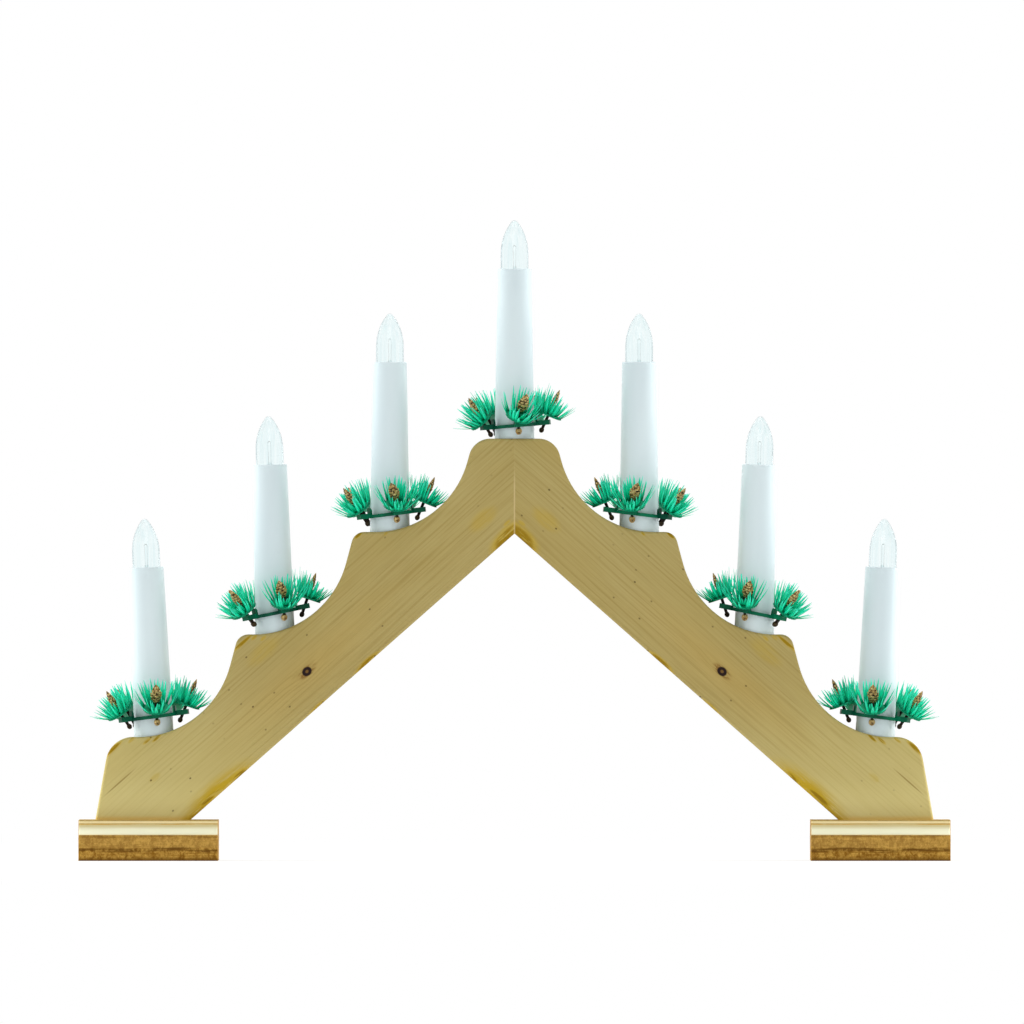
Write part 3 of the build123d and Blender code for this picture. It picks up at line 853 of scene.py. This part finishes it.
def rosette_blades(pick, draws, sizes):
    """Needle blades of one rosette, in an outer and an inner layer.

    Each blade's middle line is an arc: its slope goes from the root's to the tip's along the length,
    so reach = length (sin slope - sin root) / bend and rise = length (cos root - cos slope) / bend.
    Blades on the outer side are shorter and droop more, so that the cone shows above them.
    """
    outer, inner = sizes.outer_blades, sizes.inner_blades
    layer = np.repeat([0, 1], [outer, inner])
    step = np.concatenate([np.arange(outer) / outer, (np.arange(inner) + 0.5) / inner])
    count = outer + inner
    turn = 2 * pi * step + draws.uniform(-0.14, 0.14, count)
    out = np.cos(turn)
    flare = np.radians(np.where(layer, 10, 21)) + draws.uniform(0, 0.3, count) * np.clip(out, 0, 1)
    tip = pi / 2 - flare + draws.uniform(-0.14, 0.14, count)
    bend = np.where(layer, 0.1, 0.2) * draws.uniform(0.7, 1.3, count)
    length = sizes.blade_length * (1 - np.where(layer, 0.3, 0.12) * out) * draws.uniform(0.84, 1.08, count)
    sway = draws.uniform(-0.7, 0.7, count) * MM
    share = np.array([0, 0.18, 0.4, 0.62, 0.83, 1.0])
    slope = (tip - bend)[:, None] + bend[:, None] * share
    root = slope[:, :1]
    reach = length[:, None] * (np.sin(slope) - np.sin(root)) / bend[:, None]
    rise = length[:, None] * (np.cos(root) - np.cos(slope)) / bend[:, None]
    radial = pick["disc_radius"] * np.where(layer, 0.55, 0.92)[:, None] + reach
    drift = sway[:, None] * share**2
    around = turn[:, None]
    path = np.stack([
        radial * np.cos(around) - drift * np.sin(around),
        radial * np.sin(around) + drift * np.cos(around),
        sizes.disc_thickness * 0.6 + rise,
    ], axis=-1)
    side = np.stack([-np.sin(turn), np.cos(turn), np.zeros(count)], axis=-1)[:, None]
    width = sizes.blade_width / 2 * (1 - 0.88 * share**2) * draws.uniform(0.8, 1.15, count)[:, None]
    thick = sizes.blade_thickness / 2 * (1 - 0.7 * share)
    rings = swept(path, side, width, np.broadcast_to(thick, width.shape), 4)
    tone = np.broadcast_to(draws.uniform(0, 1, count)[:, None, None] ** 2, rings.shape[:3])
    return rings, np.broadcast_to(share[:, None], rings.shape[:3]), tone


def rosette_disc(pick, sizes):
    """Thin dished disc under the blades, its rim drawn out a little at each outer blade.

    The rim is radius (1 + 0.04 cos(pi column)), with two columns to a blade.
    """
    columns = 2 * sizes.outer_blades
    radius = pick["disc_radius"]
    rim = 1 + 0.04 * np.cos(np.arange(columns) * pi)
    shares = np.array([0.2, 0.9, 1.0, 0.93, 0.2])
    heights = sizes.disc_thickness * np.array([0.15, 0.0, 0.35, 0.85, 0.7])
    return turned(radius * shares[:, None] * rim, heights, columns)


def leant(rings, foot, sideways, outward=0.0):
    """Rings tipped about a foot on the stem, sideways and then outward, by angles in degrees."""
    rings = rings.copy()
    for axis, angle in ((1, radians(sideways)), (0, radians(outward))):
        out, up = rings[..., axis].copy(), rings[..., 2] - foot
        rings[..., axis] = out * cos(angle) + up * sin(angle)
        rings[..., 2] = foot + up * cos(angle) - out * sin(angle)
    return rings


def scaled_cone(pick, sizes):
    """Flattened cone: half width sin(pi s^0.8)^0.8 up the cone, with rows of rising scales.

    A scale's height grows along its row and drops at the next, which is turned by half a scale:
    relief = |cos(3 angle + row pi / 2)| * place in the row.
    """
    rows, columns = 37, 36
    share = np.linspace(0.02, 0.985, rows)
    angles = 2 * pi * np.arange(columns) / columns
    base = sizes.disc_thickness + sizes.cone_gap
    heights = base + (pick["cone_top"] - base) * share
    row, place = np.divmod(share * sizes.scale_rows, 1)
    lobes = np.abs(np.cos(3 * angles + row[:, None] * pi / 2))
    relief = lobes * place[:, None]
    body = (np.sin(pi * share**0.8) ** 0.8)[:, None] * (0.86 + 0.3 * relief)
    rings = turned(body, heights, columns)
    rings[..., 0] *= pick["cone_half"][0]
    rings[..., 1] *= pick["cone_half"][1]
    return rings, relief[None]


def cone_stem(pick, sizes):
    """Straight round stem from the bead into the cone."""
    bottom = pick["bead_bottom"] + sizes.bead_radius
    heights = np.linspace(bottom, sizes.disc_thickness + sizes.cone_gap * 1.2, 5)
    return turned(np.full(len(heights), sizes.stem_radius), heights, 12)


def stem_bead(pick, radius):
    """Long bead at the stem's lower end: radius cos(turn) at a height of 1.15 radius (1 + sin(turn)).

    Its bare outer spot is marked by exp(-(angle^2 + turn^2) / 0.25).
    """
    columns = 20
    turns = np.linspace(-0.44 * pi, 0.44 * pi, 13)
    heights = pick["bead_bottom"] + 1.15 * radius * (1 + np.sin(turns))
    angles = (2 * pi * np.arange(columns) / columns + pi) % (2 * pi) - pi
    spot = np.exp(-(angles**2 + turns[:, None] ** 2) / 0.25)
    return turned(radius * np.cos(turns), heights, columns), spot


# Sizes and colours that a user would change

def swatch(name, description, *display):
    """A colour property, its default in display values of 0 to 255."""
    linear = [((value / 255 + 0.055) / 1.055) ** 2.4 for value in display]
    return FloatVectorProperty(
        name=name, description=description, default=linear, size=3, min=0.0, max=1.0, subtype="COLOR"
    )


def span(name, description, default):
    """A length property, its default in millimetres."""
    return FloatProperty(
        name=name, description=description, default=default * MM, min=0.0, unit="LENGTH", precision=5
    )


def whole(name, description, default, least):
    """A whole number property."""
    return IntProperty(name=name, description=description, default=default, min=least)


class CandleArchLooks(bpy.types.PropertyGroup):
    """Colours of the finishes and sizes of the wood grain."""

    wood_pale: swatch("Pale wood", "Light early wood of the arms", 174, 157, 100)
    wood_deep: swatch("Deep wood", "Darker clouds in the arms", 169, 150, 90)
    wood_warm: swatch("Warm wood", "Warm band along the grain through the knot", 176, 147, 76)
    wood_late: swatch("Late wood", "Lines of late wood", 150, 129, 70)
    # Toe light: painted light on the wood towards the feet
    toe_painted_light: swatch("Toe light", "Light added to the wood towards the feet", 140, 130, 80)
    wood_stain: swatch("Golden stain", "Stain at corners and along the lower edges", 184, 152, 18)
    stain_core: swatch("Stain core", "Darkest part of the stains", 146, 115, 0)
    # Arris: a painted highlight along the arms' edges
    arris_painted_highlight: swatch("Arris", "Painted highlight on the arms' edges", 212, 194, 132)
    speck_dark: swatch("Specks", "Dark specks in the arms and on the tubes", 58, 38, 20)
    knot_ring: swatch("Knot ring", "Dark bark round the knots", 30, 12, 8)
    knot_heart: swatch("Knot heart", "Brown middle of the knots", 128, 92, 38)
    sole_glue: swatch("Sole glue", "Golden line above the feet", 222, 182, 86)
    glue_line: swatch("Glue line", "Pale line of the mitre", 212, 190, 142)
    foot_face: swatch("Foot face", "Brown faces of the feet", 196, 153, 68)
    foot_deep: swatch("Foot mottle", "Darker mottle of the feet", 130, 87, 8)
    foot_light: swatch("Foot light", "Lighter upper half of the feet's faces", 200, 164, 90)
    # Foot lines: dark grain lines, also used as painted shade along the feet's bottom edge
    foot_line_and_shade: swatch("Foot lines", "Dark grain lines of the feet", 100, 64, 0)
    # Cove colours are painted light: pale where the cove faces up, tan higher up, and a painted highlight on
    # the arris above it
    cove_lit_pale: swatch("Cove", "Bright lower part of the feet's cove", 238, 236, 206)
    cove_arris_highlight: swatch("Cove arris", "Painted highlight on the edge above the feet's cove", 238, 218, 164)
    cove_shaded_tan: swatch("Cove shade", "Tan upper part of the feet's cove", 206, 192, 142)
    candle_white: swatch("Candle", "White plastic of the tubes", 209, 223, 226)
    candle_shade: swatch("Candle cloud", "Cold cloud in the white plastic", 202, 217, 221)
    glass_tint: swatch("Glass", "Tint of the lamp glass", 240, 249, 250)
    glass_rim: swatch("Glass rim", "Tint of the lamp glass seen edge on", 160, 184, 188)
    glass_clear: swatch("Glass streaks", "Clearer streaks in the lamp glass", 250, 254, 254)
    brass: swatch("Brass", "Bright brass", 222, 188, 112)
    brass_dull: swatch("Dull brass", "Tarnished brass", 172, 136, 72)
    lead: swatch("Lead wire", "Bright lead wires of the lamps", 226, 228, 226)
    steel: swatch("Steel", "Bright steel", 196, 196, 190)
    steel_dull: swatch("Dull steel", "Dulled steel", 140, 140, 136)
    insulator: swatch("Insulator", "Dark glass round the solder point", 32, 28, 40)
    solder: swatch("Solder", "Solder point of the cap", 176, 176, 172)
    socket_ground: swatch("Socket", "Plastic of the lamp sockets", 228, 228, 220)
    socket_shade: swatch("Socket cloud", "Cloud in the socket plastic", 212, 210, 200)
    ring_green: swatch("Ring", "Dark green of the wreath rings", 0, 112, 78)
    ring_shade: swatch("Ring cloud", "Darkest green of the wreath rings", 0, 70, 52)
    needle_root: swatch("Needle root", "Dark roots of the needles", 0, 142, 102)
    needle_blade: swatch("Needle", "Emerald needles", 0, 226, 172)
    needle_tip: swatch("Needle tip", "Light tips of the needles", 72, 240, 204)
    cone_gold: swatch("Cone", "Gold dust of the cones", 166, 130, 72)
    cone_spark: swatch("Cone glitter", "Brightest grains on the cones", 234, 210, 150)
    cone_dark: swatch("Cone shade", "Dark stems and grooves", 28, 19, 14)
    pith_drop: span("Pith drop", "Pith line below the arm's underside", 40)
    pith_depth: span("Pith depth", "Pith line behind the arm's front", 40)
    ring_spacing: span("Ring spacing", "Spacing of the growth rings", 1.7)


class CandleArchSizes(bpy.types.PropertyGroup):
    """Sizes of the pieces that are made here."""

    glass_wall: span("Glass wall", "Wall of the lamp envelope", 0.35)
    tip_radius: span("Tip radius", "Round tip of the lamp envelope", 1.9)
    ogive_height: span("Ogive height", "Curved upper part of the lamp envelope", 15.2)
    neck_height: span("Neck height", "Cone from the cap to the straight side", 4)
    flute_count: whole("Flutes", "Flutes inside the glass", 10, 3)
    flute_depth: FloatProperty(
        name="Flute depth", description="Share of the wall", default=0.3, subtype="FACTOR"
    )
    lead_spacing: span("Lead spacing", "Between the two lead wires", 1.4)
    lead_radius: span("Lead radius", "Of the lead wires", 0.08)
    coil_radius: span("Coil radius", "Of the filament", 0.16)
    coil_turns: whole("Coil turns", "Turns of the filament", 9, 1)
    thread_pitch: span("Thread pitch", "Of the lamp cap", 1.8)
    thread_depth: span("Thread depth", "Of the lamp cap", 0.55)
    solder_radius: span("Solder radius", "Of the cap's solder point", 1.6)
    solder_height: span("Solder height", "Of the cap's solder point", 1.2)
    insulator_height: span("Insulator height", "Of the cap's dark cone", 1)
    outer_blades: whole("Outer blades", "Blades at a rosette's rim", 26, 3)
    inner_blades: whole("Inner blades", "Blades inside a rosette", 20, 3)
    blade_length: span("Blade length", "Of a needle", 9.6)
    blade_width: span("Blade width", "Of a needle at its root", 1.5)
    blade_thickness: span("Blade thickness", "Of a needle at its root", 0.4)
    disc_thickness: span("Disc thickness", "Of a rosette's disc", 0.9)
    cone_gap: span("Cone gap", "Bare stem between disc and cone", 2)
    scale_rows: whole("Scale rows", "Rows of scales on a cone", 7, 1)
    stem_radius: span("Stem radius", "Of a cone's stem", 0.7)
    bead_radius: span("Bead radius", "Of the front bead under the ring", 1.5)
    side_bead_radius: span("Side bead radius", "Of the other beads under the ring", 1.15)
    camera_distance: span("Camera distance", "From the front of the arms", 15000)


# Operators

class CANDLEARCH_OT_stage(bpy.types.Operator):
    """Camera, soft lights, white surroundings and the pale floor"""

    bl_idname = "candle_arch.stage"
    bl_label = "Set the stage"

    def execute(self, context):
        scene = context.scene
        scene.view_settings.view_transform = "Standard"
        self.add_camera(scene, scene.candle_arch_sizes.camera_distance)
        self.light_world(scene)
        self.add_floor(scene)
        middle = (CAD_BOX[0] + CAD_BOX[1]) / 2
        for name, (offset, width, power) in LIGHTS.items():
            self.add_light(scene, name, middle, offset, width, power)
        return {"FINISHED"}

    def add_camera(self, scene, distance):
        """A level camera that puts the ground line and the arch's middle where the photograph has them."""
        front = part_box("left_arm")[0].y
        data = bpy.data.cameras.new("camera")
        data.sensor_width = SENSOR
        data.lens = SENSOR * distance / (PHOTO_SIDE * PIXEL_SIZE)
        data.clip_end = 100.0
        camera = bpy.data.objects.new("camera", data)
        right = (PHOTO_SIDE / 2 - MIDDLE_COLUMN) * PIXEL_SIZE
        up = (GROUND_ROW - PHOTO_SIDE / 2) * PIXEL_SIZE
        camera.location = (right, front - distance, up)
        camera.rotation_euler = (pi / 2, 0, 0)
        scene.collection.objects.link(camera)
        scene.camera = camera

    def light_world(self, scene):
        """Even light for the surfaces, and plain white where the camera, gloss or glass looks past them."""
        scene.world = bpy.data.worlds.new("surroundings")
        scene.world.use_nodes = True
        nodes = Nodes(scene.world.node_tree)
        background = nodes.tree.nodes["Background"].inputs
        nodes.feed(background["Color"], (1.0, 1.0, 1.0))
        strength = nodes.node("MapRange", nodes.seen(), 0.0, 1.0, WORLD_LIGHT, 1.0).outputs[0]
        nodes.feed(background["Strength"], strength)

    def add_floor(self, scene):
        """A wide pale floor, white to the camera, gloss and glass, with some shade near the object."""
        mesh = bpy.data.meshes.new("floor")
        corners = [(x * FLOOR_HALF, y * FLOOR_HALF, 0) for x, y in ((-1, -1), (1, -1), (1, 1), (-1, 1))]
        mesh.from_pydata(corners, [], [(0, 1, 2, 3)])
        floor = bpy.data.objects.new("floor", mesh)
        scene.collection.objects.link(floor)
        paper = Shading("floor")
        tone = paper.mix(paper.noise((0.01, 0.01, 0.01), 3.0), (0.9, 0.9, 0.9), (0.94, 0.94, 0.94))
        paper.finish(Base_Color=tone, Roughness=0.8)
        white = paper.node("Emission", (1.0, 1.0, 1.0), 1.0).outputs[0]
        away = paper.fade(paper.distance(paper.place()), 300.0, 900.0, 0.75, 1.0)
        both = paper.node("MixShader", paper.times(paper.seen(), away), paper.shader.outputs[0], white)
        paper.feed(paper.tree.nodes["Material Output"].inputs["Surface"], both.outputs[0])
        mesh.materials.append(paper.material)

    def add_light(self, scene, name, middle, offset, width, power):
        """A square soft light that faces the object's middle; those at a side leave no glint."""
        data = bpy.data.lights.new(name, "AREA")
        data.size = width
        data.energy = power
        light = bpy.data.objects.new(name, data)
        light.visible_transmission = False
        light.visible_glossy = offset[0] == 0
        light.location = [m + o for m, o in zip(middle, offset)]
        light.rotation_euler = (middle - light.location).to_track_quat("-Z", "Y").to_euler()
        scene.collection.objects.link(light)


class CANDLEARCH_OT_woodwork(bpy.types.Operator):
    """Finish the arms, feet, dowels and screws"""

    bl_idname = "candle_arch.woodwork"
    bl_label = "Finish the woodwork"

    def execute(self, context):
        looks = context.scene.candle_arch_looks
        for name, side in SIDES.items():
            dress([f"{name}_arm"], arm_wood(name, side, looks))
        dress(["left_foot", "right_foot"], foot_wood(looks))
        dress(["mitre_dowels"], dowel_wood(looks))
        dress(["foot_screws"], metal("screw_steel", looks.steel, looks.steel_dull))
        return {"FINISHED"}


class CANDLEARCH_OT_candles(bpy.types.Operator):
    """Finish the candle tubes and the sockets inside them"""

    bl_idname = "candle_arch.candles"
    bl_label = "Finish the candles"

    def execute(self, context):
        looks = context.scene.candle_arch_looks
        dress([f"candle_tube_{candle}" for candle in CANDLES], candle_plastic(looks))
        dress(["lamp_sockets"], moulded("socket_plastic", looks.socket_ground, looks.socket_shade, 0.4))
        dress(["socket_shells", "centre_contacts"], metal("socket_brass", looks.brass, looks.brass_dull))
        return {"FINISHED"}


class CANDLEARCH_OT_lamps(bpy.types.Operator):
    """Build the lamps: fluted envelopes, stems, wires and threaded caps"""

    bl_idname = "candle_arch.lamps"
    bl_label = "Build the lamps"

    def execute(self, context):
        looks, sizes = context.scene.candle_arch_looks, context.scene.candle_arch_sizes
        glass = lamp_glass(looks)
        brass = cap_brass(looks)
        steel = metal("lamp_wire", looks.lead, looks.steel)
        for candle in CANDLES:
            self.build_lamp(candle, sizes, glass, brass, steel)
        return {"FINISHED"}

    def build_lamp(self, candle, sizes, glass, brass, steel):
        """One lamp, measured from its CAD nodes."""
        axis = candle_axes(candle)
        body = f"bulb_{candle}"
        heights, radii = heights_and_radii(f"bulb_glass_{candle}", *axis)
        bottom = heights.min()
        neck = radii[heights < bottom + 0.01 * MM].max()
        skins = [skin(placed(lamp_envelope(radii.max(), neck, bottom, heights.max(), sizes), *axis))]
        build_piece(f"lamp_envelope_{candle}", skins, glass, body, [f"bulb_glass_{candle}"])

        heights, radii = heights_and_radii(f"bulb_cap_{candle}", *axis)
        rings, zones = lamp_cap(radii.max(), heights.min(), heights.max(), sizes)
        skins = [skin(placed(rings, *axis), zone=zones)]
        build_piece(f"lamp_cap_{candle}", skins, brass, body, [f"bulb_cap_{candle}"])

        heights, radii = heights_and_radii(f"bulb_mount_{candle}", *axis)
        stem_top = heights[radii > 0.9 * radii.max()].max()
        skins = [skin(placed(lamp_stem(radii.max(), heights.min(), stem_top), *axis))]
        build_piece(f"lamp_stem_{candle}", skins, glass, body, [f"bulb_mount_{candle}"])
        wires = lamp_wires(stem_top - sizes.lead_spacing, heights.max(), sizes)
        skins = [skin(placed(rings, *axis)) for rings in wires]
        build_piece(f"lamp_wires_{candle}", skins, steel, body, [f"bulb_mount_{candle}"])


class CANDLEARCH_OT_wreaths(bpy.types.Operator):
    """Finish the wreath rings and build their needle rosettes and cones"""

    bl_idname = "candle_arch.wreaths"
    bl_label = "Build the wreaths"

    def execute(self, context):
        looks, sizes = context.scene.candle_arch_looks, context.scene.candle_arch_sizes
        dress([f"wreath_ring_{candle}" for candle in CANDLES],
              moulded("wreath_plastic", looks.ring_green, looks.ring_shade, 0.34, 0.12))
        green, gold = needle_plastic(looks), cone_gold(looks)
        for candle in CANDLES:
            step = step_and_side(candle)[0]
            sprays, cones = [], []
            for arm, own in enumerate(picks(candle)):
                draws = np.random.default_rng([step, arm])
                lean = TOP_ROSETTE_LEANS[arm] if step == 0 and arm < len(TOP_ROSETTE_LEANS) else (0.0, 0.0)
                sprays += self.spray(own, draws, sizes, lean)
                cones += self.cone(own, draws, sizes, arm, step)
            body = f"wreath_{candle}"
            nodes = [f"pine_sprays_{candle}"]
            build_piece(f"needle_rosettes_{candle}", sprays, green, body, nodes)
            nodes = [f"pine_cones_{candle}"]
            build_piece(f"gilt_cones_{candle}", cones, gold, body, nodes)
        return {"FINISHED"}

    def spray(self, own, draws, sizes, lean):
        """Blades and disc of one rosette, in place."""
        blades, along, tone = rosette_blades(own, draws, sizes)
        blades = leant(blades, 0.0, *lean)
        disc = leant(rosette_disc(own, sizes), 0.0, *lean)
        where = own["origin"], own["axes"]
        return [
            skin(placed(blades, *where), along=along, tone=tone),
            skin(placed(disc, *where), along=0.0, tone=0.3),
        ]

    def cone(self, own, draws, sizes, arm, step):
        """Cone, stem and bead of one pick, in place, the front one leaning as the photograph shows."""
        lean = draws.uniform(-SIDE_CONE_LEAN, SIDE_CONE_LEAN) if arm else FRONT_CONE_LEANS[step]
        rings, relief = scaled_cone(own, sizes)
        rings = leant(rings, sizes.disc_thickness, lean)
        where = own["origin"], own["axes"]
        bead, spot = stem_bead(own, sizes.side_bead_radius if arm else sizes.bead_radius)
        gilt = 0.95 - 0.9 * spot if arm == 0 else draws.uniform(0.0, 0.1)
        return [
            skin(placed(rings, *where), ridge=relief, gilt=1.0),
            skin(placed(cone_stem(own, sizes), *where), ridge=0.0, gilt=0.0),
            skin(placed(bead, *where), ridge=0.8, gilt=gilt),
        ]


class CANDLEARCH_PT_panel(bpy.types.Panel):
    """Sizes, colours and steps of the candle arch"""

    bl_idname = "CANDLEARCH_PT_panel"
    bl_label = "Candle arch"
    bl_space_type = "VIEW_3D"
    bl_region_type = "UI"
    bl_category = "Candle arch"

    def draw(self, context):
        for operator in OPERATORS:
            self.layout.operator(operator.bl_idname)
        for group in (context.scene.candle_arch_sizes, context.scene.candle_arch_looks):
            for name in group.__annotations__:
                self.layout.prop(group, name)


OPERATORS = (CANDLEARCH_OT_stage, CANDLEARCH_OT_woodwork, CANDLEARCH_OT_candles, CANDLEARCH_OT_lamps,
             CANDLEARCH_OT_wreaths)
CLASSES = (CandleArchLooks, CandleArchSizes, *OPERATORS, CANDLEARCH_PT_panel)


def register():
    """Add the classes and hang the two property groups on the scene."""
    for cls in CLASSES:
        bpy.utils.register_class(cls)
    bpy.types.Scene.candle_arch_looks = PointerProperty(type=CandleArchLooks)
    bpy.types.Scene.candle_arch_sizes = PointerProperty(type=CandleArchSizes)


def unregister():
    """Take the property groups and the classes away again."""
    del bpy.types.Scene.candle_arch_sizes
    del bpy.types.Scene.candle_arch_looks
    for cls in reversed(CLASSES):
        bpy.utils.unregister_class(cls)


def main():
    register()
    bpy.ops.candle_arch.stage()
    bpy.ops.candle_arch.woodwork()
    bpy.ops.candle_arch.candles()
    bpy.ops.candle_arch.lamps()
    bpy.ops.candle_arch.wreaths()


if __name__ == "__main__":
    main()
